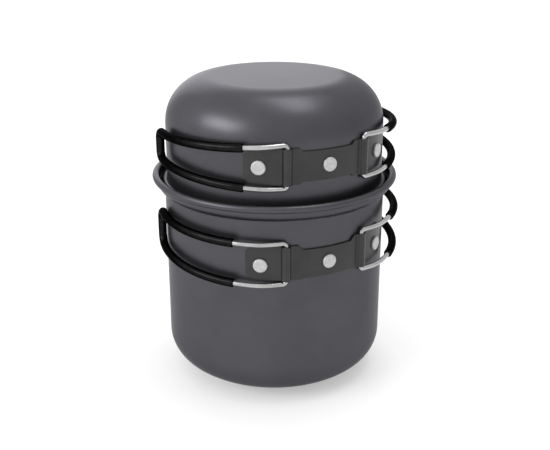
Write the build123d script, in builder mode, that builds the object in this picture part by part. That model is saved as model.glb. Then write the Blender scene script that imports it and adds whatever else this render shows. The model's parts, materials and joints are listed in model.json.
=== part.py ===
from build123d import *
import os
from dataclasses import dataclass
from math import acos, atan, cos, degrees, radians, sin, sqrt, tan

# A nesting camp cook set: a deep pot, and a pan stored upside down as its lid. Millimetres, +Z up.
# The origin is the centre of the pot's base, and the handle brackets face -Y.

# The pot, over the outside of its sheet
sheet = 1.0
pot_radius = 56.2
pot_belly_radius = 36.0     # between the flat base and the corner
pot_corner_radius = 16.0    # between the belly and the wall
pot_corner_turn = 52.0      # degrees of the corner's arc

# The pot's mouth: the wall steps out round a shoulder to a rolled bead
mouth_radius = 60.2
shoulder_radius = 5.3
shoulder_height = 104.1
crease_fillet = 0.7
bead_radius = 1.8
rim_radius = 62.4
bead_height = 105.9

# The upturned pan: its rolled lip sits in the pot's shoulder, with its base on top
pan_radius = 54.9
pan_corner_radius = 22.7
pan_base_height = 155.8
lip_radius = 1.8
lip_straight = 1.0
lip_bottom = 100.2

# Bracket strips, measured along the wall
strip_thickness = 0.95
strip_gap = 0.05
strip_half_length = 40.1
tab_height = 17.2
waist_height = 14.3
waist_half_length = 12.8
tab_chamfer = 3.2
rivet_pitch = 33.0
channel_bore = 1.3          # inside radius of the channel that holds the wire
channel_fillet = 0.9

# Rivets
shank_radius = 1.6
rivet_hole_radius = 1.65
head_radius = 3.5
head_height = 1.2
head_round = 0.7
head_lift = 0.03
inner_head_radius = 2.9
inner_head_height = 0.9
inner_head_round = 0.5
inner_head_lift = 0.02

# Wire handles
wire_radius = 1.2
sleeve_radius = 2.1
sleeve_bore = 1.22
arm_height = 10.35          # centreline above and below the strip's middle at the hinge
tail_end = 1.4              # each bent end stops this far from the strip's middle
end_bend_radius = 1.8
run_length = 6.3
run_flare = 5.0             # degrees that the arm leaves the wall by
shoulder_bend_radius = 25.0
shoulder_bend = 20.0        # degrees
hug_radius = 56.0           # bend of the arms round the wall


@dataclass
class HandleSet:
    """What differs between the pot's bracket and handles and the pan's."""
    wall: float             # outside radius of the vessel's wall
    rivets: float           # height of the rivets and of the strip's waist
    middle: float           # height of the middle of the tabs and the handles
    hinges: tuple           # where the hinges stand on the strip, left and right
    openings: tuple         # how far each handle stands open, in degrees
    hug_turn: float         # degrees of the bend round the wall
    upper_climb: tuple      # climb of the upper arm's plane, along the folded handle and outwards
    lower_climb: tuple      # fall of the lower arm's plane, the same way
    loop_corner: float      # bend radius of the loop's two corners
    sleeve_start: float     # length of bare arm before the sleeve

    def hinge_angle(self, side):
        return degrees(self.hinges[side > 0] / self.wall)


pot_handles = HandleSet(
    wall=pot_radius, rivets=77.0, middle=77.9, hinges=(-21.1, 19.6), openings=(1.7, 5.1), hug_turn=66.0,
    upper_climb=(-0.007, -0.042), lower_climb=(0.001, 0.097), loop_corner=5.0, sleeve_start=24.7,
)
pan_handles = HandleSet(
    wall=pan_radius, rivets=124.5, middle=124.7, hinges=(-20.1, 20.3), openings=(1.9, 3.0), hug_turn=62.0,
    upper_climb=(-0.045, 0.015), lower_climb=(-0.044, 0.037), loop_corner=4.0, sleeve_start=19.5,
)


def outward(angle):
    """Unit vector away from the vessels' axis, at an angle round from the bracket's middle."""
    return Vector(sin(radians(angle)), -cos(radians(angle)), 0)


def wall_plane(radius, angle, height):
    """Plane that touches a wall, with z away from the vessel and y up."""
    origin = outward(angle) * radius + Vector(0, 0, height)
    return Plane(origin=origin, x_dir=Vector(0, 0, 1).cross(outward(angle)), z_dir=outward(angle))


def rivet_planes(handles, radius):
    pitch = degrees(rivet_pitch / handles.wall)
    return [wall_plane(radius, angle, handles.rivets) for angle in (-pitch, 0, pitch)]


def drill_rivet_holes(handles):
    with Locations(*rivet_planes(handles, handles.wall)):
        Cylinder(rivet_hole_radius, 8 * sheet, mode=Mode.SUBTRACT)


def finish_piece(piece, name):
    piece.part.label = name
    export_step(piece.part, f"parts/{name}.step")


def make_pot():
    corner_x = pot_radius - pot_corner_radius
    belly_shift = pot_belly_radius - pot_corner_radius
    belly_x = corner_x - belly_shift * cos(radians(pot_corner_turn))
    corner_z = pot_belly_radius - belly_shift * sin(radians(pot_corner_turn))
    shoulder_x = mouth_radius - shoulder_radius
    shoulder_turn = degrees(acos((pot_radius - shoulder_x) / shoulder_radius))
    wide = 3 * rim_radius
    with BuildPart() as pot:
        with BuildSketch(Plane.XZ) as section:
            with BuildLine():
                Line((0, 0), (belly_x, 0))
                CenterArc((belly_x, pot_belly_radius), pot_belly_radius, -90, 90 - pot_corner_turn)
                corner = CenterArc((corner_x, corner_z), pot_corner_radius, -pot_corner_turn, pot_corner_turn)
                step = CenterArc((shoulder_x, shoulder_height), shoulder_radius, -shoulder_turn, shoulder_turn)
                Line(corner @ 1, step @ 0)
                Polyline(step @ 1, (mouth_radius, bead_height + sheet), (0, bead_height + sheet))
                mirror(about=Plane.YZ)
            make_face()
            crease = (step @ 0).Y
            fillet(section.vertices().filter_by_position(Axis.Y, crease - 0.1, crease + 0.1), crease_fillet)
            offset(amount=-sheet, mode=Mode.SUBTRACT)
            # The mouth is open, and its edge is rolled outwards
            with Locations((0, bead_height)):
                Rectangle(wide, wide, align=(Align.CENTER, Align.MIN), mode=Mode.SUBTRACT)
            with Locations((rim_radius - bead_radius, bead_height)):
                Circle(bead_radius)
            with Locations((0, bead_height)):
                Rectangle(2 * (mouth_radius - sheet), 4 * bead_radius, mode=Mode.SUBTRACT)
            split(bisect_by=Plane.YZ)
        revolve(axis=Axis.Z)
        drill_rivet_holes(pot_handles)
    finish_piece(pot, "pot_body")


def make_pan():
    corner_centre = (pan_radius - pan_corner_radius, pan_base_height - pan_corner_radius)
    wide = 3 * pan_radius
    with BuildPart() as pan:
        with BuildSketch(Plane.XZ) as section:
            with BuildLine():
                Line((0, pan_base_height), (corner_centre[0], pan_base_height))
                CenterArc(corner_centre, pan_corner_radius, 90, -90)
                lip_end = (pan_radius, lip_bottom)
                Polyline((pan_radius, corner_centre[1]), lip_end, (0, lip_bottom))
                mirror(about=Plane.YZ)
            make_face()
            offset(amount=-sheet, mode=Mode.SUBTRACT)
            # The open end is rolled outwards
            with Locations((0, lip_bottom + lip_radius)):
                Rectangle(wide, wide, align=(Align.CENTER, Align.MAX), mode=Mode.SUBTRACT)
            with Locations((pan_radius - sheet + lip_radius, lip_bottom + lip_radius + lip_straight / 2)):
                SlotCenterToCenter(lip_straight, 2 * lip_radius, rotation=90)
            split(bisect_by=Plane.YZ)
        revolve(axis=Axis.Z)
        drill_rivet_holes(pan_handles)
    finish_piece(pan, "pan_body")


def make_bracket(handles, name):
    """A sheet strip round the wall, with a waist, two hinge channels and chamfered tabs."""
    inner = handles.wall + strip_gap
    outer = inner + strip_thickness
    half_angle = degrees(strip_half_length / handles.wall)
    hinges = [outward(handles.hinge_angle(side)) * (handles.wall + channel_bore) for side in (-1, 1)]
    waist = 2 * outer * sin(waist_half_length / handles.wall)
    with BuildPart() as bracket:
        with BuildSketch(Plane.XY.offset(handles.middle - tab_height / 2)) as plan:
            with BuildLine():
                outside = CenterArc((0, 0), outer, -90 - half_angle, 2 * half_angle)
                inside = CenterArc((0, 0), inner, -90 - half_angle, 2 * half_angle)
                Line(outside @ 0, inside @ 0)
                Line(outside @ 1, inside @ 1)
            make_face()
            with Locations(*hinges):
                Circle(channel_bore + strip_thickness)
            corners = plan.vertices().filter_by(lambda v: abs(Vector(v).length - outer) < 0.01)
            fillet(corners.sort_by(Axis.X)[1:-1], channel_fillet)
            with Locations(*hinges):
                Circle(channel_bore, mode=Mode.SUBTRACT)
            Circle(inner, mode=Mode.SUBTRACT)
        extrude(amount=tab_height)
        with BuildSketch(Plane.XZ):
            for end in (-1, 1):
                depth = (tab_height - waist_height) / 2 + end * (handles.middle - handles.rivets)
                with Locations((0, handles.rivets + end * (waist_height + depth) / 2)):
                    Trapezoid(waist + 2 * depth, depth, 45, rotation=90 + 90 * end)
        extrude(amount=2 * outer, mode=Mode.SUBTRACT)
        ends = bracket.edges().filter_by(lambda edge: abs(edge.length - strip_thickness) < 0.01)
        chamfer(ends.group_by(Axis.Y)[-1], tab_chamfer)
        drill_rivet_holes(handles)
    finish_piece(bracket, name)


def make_rivet(handles, angle, name):
    """A domed head on the strip, a shank through strip and wall, and a flatter head inside."""
    seat = handles.wall + strip_gap + strip_thickness + head_lift
    wall_inside = handles.wall - sheet
    inner_seat = sqrt(wall_inside ** 2 - inner_head_radius ** 2) - inner_head_lift
    with BuildPart() as rivet:
        with BuildSketch(wall_plane(seat, angle, handles.rivets)):
            Circle(head_radius)
        extrude(amount=head_height)
        rings = rivet.edges().filter_by(GeomType.CIRCLE)
        fillet(rings.sort_by_distance((0, 0, handles.rivets))[-1], head_round)
        with BuildSketch(wall_plane(inner_seat, angle, handles.rivets)):
            Circle(inner_head_radius)
        extrude(amount=-inner_head_height)
        rings = rivet.edges().filter_by(GeomType.CIRCLE)
        fillet(rings.sort_by_distance((0, 0, handles.rivets))[0], inner_head_round)
        with BuildSketch(wall_plane(inner_seat, angle, handles.rivets)):
            Circle(shank_radius)
        extrude(amount=seat - inner_seat)
    finish_piece(rivet, name)


def hinge_plane(handles, side):
    """Plane square to a hinge at the strip's middle: x runs along the handle, y outwards."""
    away = outward(handles.hinge_angle(side))
    folded = Vector(0, 0, side).cross(away)
    opening = radians(handles.openings[side > 0])
    x_dir = folded * cos(opening) + away * sin(opening)
    origin = away * (handles.wall + channel_bore) + Vector(0, 0, handles.middle)
    return Plane(origin=origin, x_dir=x_dir, z_dir=(0, 0, -side))


def handle_arm(climb, hug_turn):
    """One arm on the z side of a hinge plane: bent end, short run, shoulder, bend round the wall."""
    flare = radians(run_flare)
    rise = climb[0] * cos(flare) + climb[1] * sin(flare)
    reach = end_bend_radius * tan((radians(90) - atan(rise)) / 2)
    arm_plane = Plane(
        origin=(0, 0, arm_height),
        x_dir=Vector(cos(flare), sin(flare), rise).normalized(),
        z_dir=(-climb[0], -climb[1], 1),
    )
    with BuildLine(arm_plane) as bends:
        run = Line((reach, 0), (run_length, 0))
        ease = JernArc(run @ 1, run % 1, shoulder_bend_radius, -shoulder_bend)
        JernArc(ease @ 1, ease % 1, hug_radius, -hug_turn)
    with BuildLine() as arm:
        tail = Line((0, 0, tail_end), (0, 0, arm_height - reach))
        TangentArc(tail @ 1, run @ 0, tangent=(0, 0, 1))
        add(bends.line)
    return arm.wire()


def handle_centreline(handles, side):
    """The bent wire, with z on its hinge, x along the folded handle and y outwards."""
    climbs = (handles.upper_climb, handles.lower_climb)
    near, far = [handle_arm(climb, handles.hug_turn) for climb in climbs[::-side]]
    far = far.mirror(Plane.XY)
    reach = 1.2 * handles.loop_corner
    with BuildLine() as path:
        add(near)
        add(far)
        tips = [arm @ 1 + (arm % 1) * reach for arm in (near, far)]
        FilletPolyline(near @ 1, *tips, far @ 1, radius=handles.loop_corner)
    return path.wire()


def make_handle(handles, side, vessel, side_name):
    """A wire handle and the sleeve over its loop."""
    centreline = handle_centreline(handles, side).moved(hinge_plane(handles, side).location)
    bare = (arm_height - tail_end + handles.sleeve_start) / centreline.length
    covered = centreline.trim(bare, 1 - bare)
    with BuildPart() as wire:
        with BuildSketch(Plane(origin=centreline @ 0, z_dir=centreline % 0)):
            Circle(wire_radius)
        sweep(path=centreline)
    finish_piece(wire, f"{vessel}_wire_{side_name}")
    with BuildPart() as sleeve:
        with BuildSketch(Plane(origin=covered @ 0, z_dir=covered % 0)):
            Circle(sleeve_radius)
            Circle(sleeve_bore, mode=Mode.SUBTRACT)
        sweep(path=covered)
    finish_piece(sleeve, f"{vessel}_sleeve_{side_name}")


def make_handle_set(handles, vessel):
    make_bracket(handles, f"{vessel}_handle_bracket")
    pitch = degrees(rivet_pitch / handles.wall)
    for angle, place in ((-pitch, "left"), (0, "centre"), (pitch, "right")):
        make_rivet(handles, angle, f"{vessel}_rivet_{place}")
    make_handle(handles, -1, vessel, "left")
    make_handle(handles, 1, vessel, "right")


os.makedirs("parts", exist_ok=True)
make_pot()
make_pan()
make_handle_set(pot_handles, "pot")
make_handle_set(pan_handles, "pan")
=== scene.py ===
import json
from math import cos, pi, radians, sin

import bpy
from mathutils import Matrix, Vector


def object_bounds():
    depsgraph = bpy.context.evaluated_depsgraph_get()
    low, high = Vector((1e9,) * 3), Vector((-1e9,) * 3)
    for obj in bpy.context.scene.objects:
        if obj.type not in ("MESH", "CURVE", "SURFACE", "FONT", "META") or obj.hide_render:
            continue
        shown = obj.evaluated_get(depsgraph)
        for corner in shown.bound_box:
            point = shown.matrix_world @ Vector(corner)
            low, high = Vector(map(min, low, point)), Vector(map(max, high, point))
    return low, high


# The camp cook set's looks. Everything is in metres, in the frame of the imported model:
# the pot stands on z = 0, its axis is the z axis and the handle brackets face -y.

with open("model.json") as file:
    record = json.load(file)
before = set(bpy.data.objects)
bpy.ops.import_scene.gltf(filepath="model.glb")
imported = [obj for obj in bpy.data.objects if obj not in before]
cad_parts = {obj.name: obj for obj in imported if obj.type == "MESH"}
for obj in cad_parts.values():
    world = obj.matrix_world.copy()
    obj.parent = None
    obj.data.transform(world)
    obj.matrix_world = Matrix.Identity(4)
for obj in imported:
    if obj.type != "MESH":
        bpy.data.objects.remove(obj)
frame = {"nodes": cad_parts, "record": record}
record = frame["record"]
cad_low, cad_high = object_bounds()

scene = bpy.context.scene


# ---------------------------------------------------------------- node helpers

class Shader:
    """A node material with a Principled surface, and short calls for the nodes that feed it."""

    def __init__(self, name):
        self.material = bpy.data.materials.new(name)
        self.material.use_nodes = True
        self.tree = self.material.node_tree
        self.surface = self.tree.nodes["Principled BSDF"]

    def add(self, kind):
        return self.tree.nodes.new(kind)

    def link(self, source, target):
        self.tree.links.new(source, target)

    def set(self, **values):
        """Constants, set straight on the surface's own sockets."""
        for key, value in values.items():
            self.surface.inputs[key.replace("_", " ")].default_value = value

    def position(self, scale=(1, 1, 1)):
        """Object coordinates, which are the frame's own, stretched by scale."""
        coords = self.add("ShaderNodeTexCoord")
        mapping = self.add("ShaderNodeMapping")
        mapping.inputs["Scale"].default_value = scale
        self.link(coords.outputs["Object"], mapping.inputs["Vector"])
        return mapping.outputs["Vector"]

    def noise(self, vector, scale, detail=3.0, roughness=0.55):
        """Noise with about scale lumps to each unit of the vector."""
        node = self.add("ShaderNodeTexNoise")
        node.inputs["Scale"].default_value = scale
        node.inputs["Detail"].default_value = detail
        node.inputs["Roughness"].default_value = roughness
        self.link(vector, node.inputs["Vector"])
        return node.outputs["Fac"]

    def ramp(self, value, low, high, colors):
        """A colour that goes from the first to the second as the value goes from low to high."""
        node = self.add("ShaderNodeValToRGB")
        node.color_ramp.elements[0].position = low
        node.color_ramp.elements[1].position = high
        node.color_ramp.elements[0].color = (*colors[0], 1)
        node.color_ramp.elements[1].color = (*colors[1], 1)
        self.link(value, node.inputs["Fac"])
        return node.outputs["Color"]

    def remap(self, value, low, high):
        """A value of 0 to 1, moved to the range from low to high."""
        node = self.add("ShaderNodeMapRange")
        node.inputs["To Min"].default_value = low
        node.inputs["To Max"].default_value = high
        self.link(value, node.inputs["Value"])
        return node.outputs["Result"]

    def bump(self, height, strength, distance):
        """Relief on the surface; distance is its depth in metres."""
        node = self.add("ShaderNodeBump")
        node.inputs["Strength"].default_value = strength
        node.inputs["Distance"].default_value = distance
        self.link(height, node.inputs["Height"])
        self.link(node.outputs["Normal"], self.surface.inputs["Normal"])


# ---------------------------------------------------------------- materials

def anodised():
    """Hard-anodised aluminium: a dark satin oxide with a fine tooth and soft clouding."""
    shader = Shader("hard_anodised")
    shader.set(Metallic=0.9, Specular_Tint=(0.62, 0.62, 0.64, 1))
    place = shader.position()
    clouds = shader.noise(place, 35.0, detail=4.0)
    tone = shader.ramp(clouds, 0.3, 0.75, ((0.069, 0.0675, 0.075), (0.083, 0.081, 0.090)))
    shader.link(tone, shader.surface.inputs["Base Color"])
    shader.link(shader.remap(clouds, 0.32, 0.40), shader.surface.inputs["Roughness"])
    shader.bump(shader.noise(place, 1800.0, detail=2.0), 0.12, 0.00005)
    return shader.material


def strip_metal():
    """The bracket strips: coated sheet, darker than the vessels and about as satin."""
    shader = Shader("strip_metal")
    shader.set(Metallic=0.6)
    place = shader.position()
    clouds = shader.noise(place, 90.0)
    tone = shader.ramp(clouds, 0.3, 0.7, ((0.030, 0.030, 0.030), (0.040, 0.040, 0.040)))
    shader.link(tone, shader.surface.inputs["Base Color"])
    shader.link(shader.remap(clouds, 0.30, 0.40), shader.surface.inputs["Roughness"])
    shader.bump(shader.noise(place, 900.0), 0.10, 0.00005)
    return shader.material


def rivet_metal():
    """Bare aluminium heads, dimpled by the setting tool."""
    shader = Shader("rivet_metal")
    shader.set(Metallic=0.9, Roughness=0.5)
    place = shader.position()
    dents = shader.noise(place, 700.0, detail=1.0)
    tone = shader.ramp(dents, 0.3, 0.7, ((0.44, 0.44, 0.445), (0.54, 0.54, 0.545)))
    shader.link(tone, shader.surface.inputs["Base Color"])
    shader.bump(dents, 0.35, 0.0002)
    return shader.material


def handle_wire():
    """Bright drawn stainless wire with faint die lines."""
    shader = Shader("handle_wire")
    shader.set(Metallic=1.0)
    smudge = shader.noise(shader.position(), 160.0)
    tone = shader.ramp(smudge, 0.3, 0.7, ((0.36, 0.36, 0.36), (0.48, 0.48, 0.48)))
    shader.link(tone, shader.surface.inputs["Base Color"])
    shader.link(shader.remap(smudge, 0.18, 0.30), shader.surface.inputs["Roughness"])
    # Folded arms lie nearly level, so the die lines are a noise drawn out sideways
    lines = shader.noise(shader.position((120, 120, 1400)), 1.0, detail=2.0)
    shader.bump(lines, 0.05, 0.00005)
    return shader.material


def vinyl_sleeve():
    """Glossy black dipped vinyl with a faint orange peel; the dark tint keeps its edges black."""
    shader = Shader("vinyl_sleeve")
    shader.set(Metallic=0.95, Specular_IOR_Level=0.1, Specular_Tint=(0.03, 0.03, 0.03, 1))
    place = shader.position()
    peel = shader.noise(place, 420.0, detail=2.0)
    tone = shader.ramp(peel, 0.3, 0.7, ((0.010, 0.010, 0.010), (0.015, 0.015, 0.015)))
    shader.link(tone, shader.surface.inputs["Base Color"])
    shader.link(shader.remap(peel, 0.20, 0.30), shader.surface.inputs["Roughness"])
    shader.bump(peel, 0.12, 0.0001)
    return shader.material


FINISHES = {
    "hard_anodised": anodised(),
    "strip_metal": strip_metal(),
    "rivet_metal": rivet_metal(),
    "handle_wire": handle_wire(),
    "vinyl_sleeve": vinyl_sleeve(),
}

for subpart in record["subparts"]:
    node = frame["nodes"][subpart["node"]]
    for slot in node.material_slots:
        slot.material = FINISHES[subpart["material_slot"]]


# ---------------------------------------------------------------- studio

def add_floor():
    """A light table: white paper with a weak even glow, which keeps the contact shadow pale."""
    bpy.ops.mesh.primitive_plane_add(size=12.0, location=(0, 0, 0))
    floor = bpy.context.object
    floor.name = "floor"
    paper = Shader("paper_floor")
    paper.set(Base_Color=(0.55, 0.55, 0.55, 1), Roughness=0.9)
    paper.set(Emission_Color=(1, 1, 1, 1), Emission_Strength=0.38)
    floor.data.materials.append(paper.material)


def add_softbox(name, azimuth, elevation, distance, size, power):
    """A softbox aimed at the set's middle; azimuth 0 is -y and 90 is +x, in degrees."""
    middle = Vector((0, 0, cad_high[2] / 2))
    turn, rise = radians(azimuth), radians(elevation)
    away = Vector((sin(turn) * cos(rise), -cos(turn) * cos(rise), sin(rise)))
    light = bpy.data.lights.new(name, "AREA")
    light.shape = "RECTANGLE"
    light.size, light.size_y = size
    light.energy = power
    box = bpy.data.objects.new(name, light)
    box.location = middle + away * distance
    scene.collection.objects.link(box)
    box.rotation_euler = (-away).to_track_quat("-Z", "Y").to_euler()


def add_world(bright_side, low, high):
    """Even white surroundings that fall off away from the bright side."""
    world = bpy.data.worlds.new("studio")
    world.use_nodes = True
    tree = world.node_tree
    coords = tree.nodes.new("ShaderNodeTexCoord")
    facing = tree.nodes.new("ShaderNodeVectorMath")
    facing.operation = "DOT_PRODUCT"
    facing.inputs[1].default_value = Vector(bright_side).normalized()
    strength = tree.nodes.new("ShaderNodeMapRange")
    strength.inputs["From Min"].default_value = -1.0
    strength.inputs["To Min"].default_value = low
    strength.inputs["To Max"].default_value = high
    background = tree.nodes["Background"]
    background.inputs["Color"].default_value = (1, 1, 1, 1)
    tree.links.new(coords.outputs["Generated"], facing.inputs[0])
    tree.links.new(facing.outputs["Value"], strength.inputs["Value"])
    tree.links.new(strength.outputs["Result"], background.inputs["Strength"])
    scene.world = world


def add_camera():
    """A slightly long lens, in front and to the left of the brackets, looking down on them."""
    distance, height = 0.4599, 0.2490
    bearing = radians(27.0)         # the brackets stand this far to the right of the camera's line
    turn = radians(0.046)           # and the camera looks a touch past the axis
    pitch = radians(20.628)
    camera = bpy.data.cameras.new("camera")
    camera.sensor_width = 36.0
    camera.lens = 61.0
    camera.clip_start = 0.01
    stand = bpy.data.objects.new("camera", camera)
    stand.location = (-distance * sin(bearing), -distance * cos(bearing), height)
    stand.rotation_euler = (pi / 2 - pitch, 0, -bearing - turn)
    scene.collection.objects.link(stand)
    scene.camera = stand


# From the camera, the left box puts the highlight on the left of the pan's shoulder, the top one
# the highlight on its front and a gleam on the strips and wires, and the back one lights the pan's
# upturned base. The first two brighten the vessels' walls a little as well.
add_floor()
add_world(bright_side=(-0.6, 0.35, 0.7), low=0.68, high=1.2)
add_softbox("left_softbox", azimuth=-87, elevation=29, distance=2.2, size=(1.4, 0.72), power=20.0)
add_softbox("top_softbox", azimuth=86, elevation=77, distance=1.8, size=(1.3, 0.55), power=8.5)
add_softbox("back_softbox", azimuth=165, elevation=18, distance=3.2, size=(2.2, 2.2), power=20.0)
add_camera()
scene.view_settings.view_transform = "Standard"
